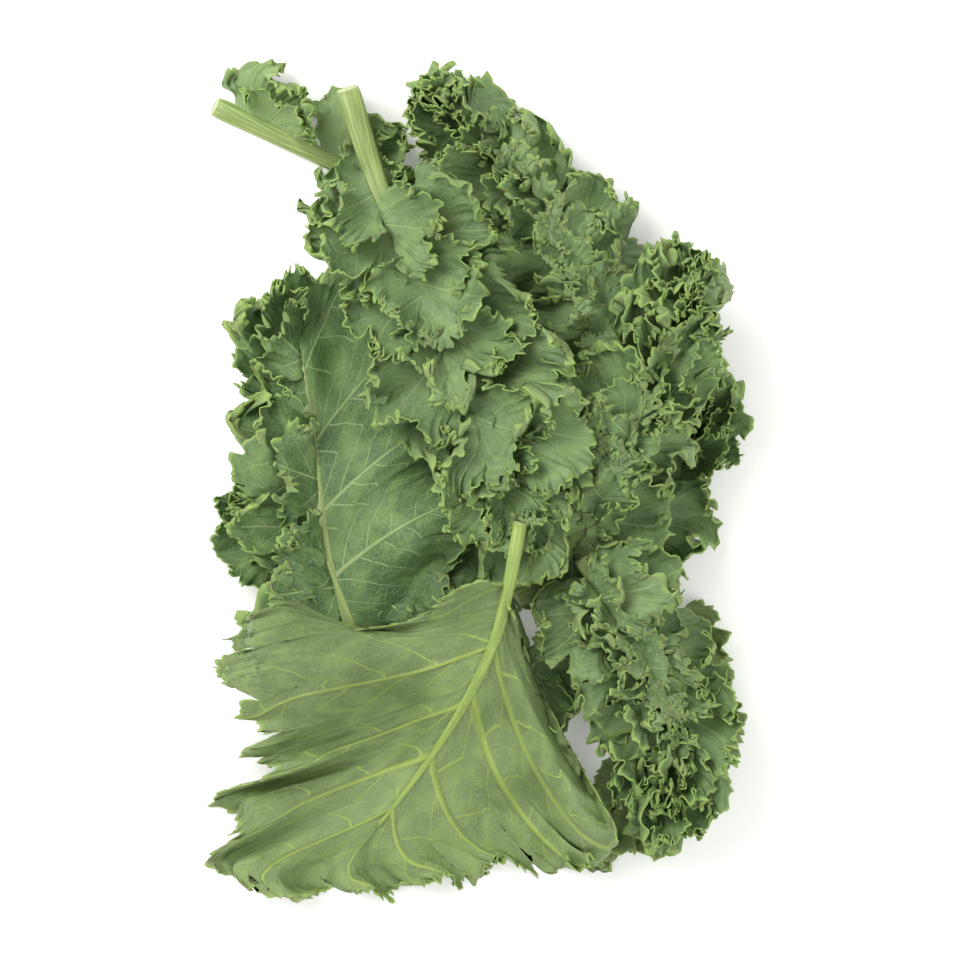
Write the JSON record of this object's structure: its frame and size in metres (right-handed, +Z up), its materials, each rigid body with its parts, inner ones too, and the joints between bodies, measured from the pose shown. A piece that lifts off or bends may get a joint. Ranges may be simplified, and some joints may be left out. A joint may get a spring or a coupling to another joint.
{
  "type": "kale bunch",
  "caption": "Heap of loose curly kale leaves lying flat: ruffled, lobed blades on pale ribs, two bare cut stalks at one end and one broad leaf showing its underside.",
  "frame": {"origin": "on the surface that the bunch lies on, under the middle of its length and width", "axes": "+Z up off the surface; +Y along the bunch, to the end where two bare cut stalks stick out; +X to the right as seen from above"},
  "size_m": [0.2592, 0.3924, 0.0797],
  "materials": {
    "leaf_upper_side": "slightly waxy leaf, blue-green to olive with pale margins and veins",
    "leaf_underside": "matte pale grey-green leaf underside with raised yellow-green ribs"
  },
  "bodies": {
    "root": {"leaf_left_under": "leaf_upper_side", "leaf_centre_under": "leaf_upper_side", "leaf_lower_right_under": "leaf_underside", "leaf_top_outer_stalk": "leaf_upper_side", "leaf_top_right": "leaf_upper_side", "leaf_right_middle": "leaf_upper_side", "leaf_right_upper": "leaf_upper_side", "leaf_lower_right": "leaf_upper_side", "leaf_middle_left": "leaf_upper_side", "leaf_top_inner_stalk": "leaf_upper_side", "leaf_lower_left_broad": "leaf_underside"}
  },
  "joints": []
}
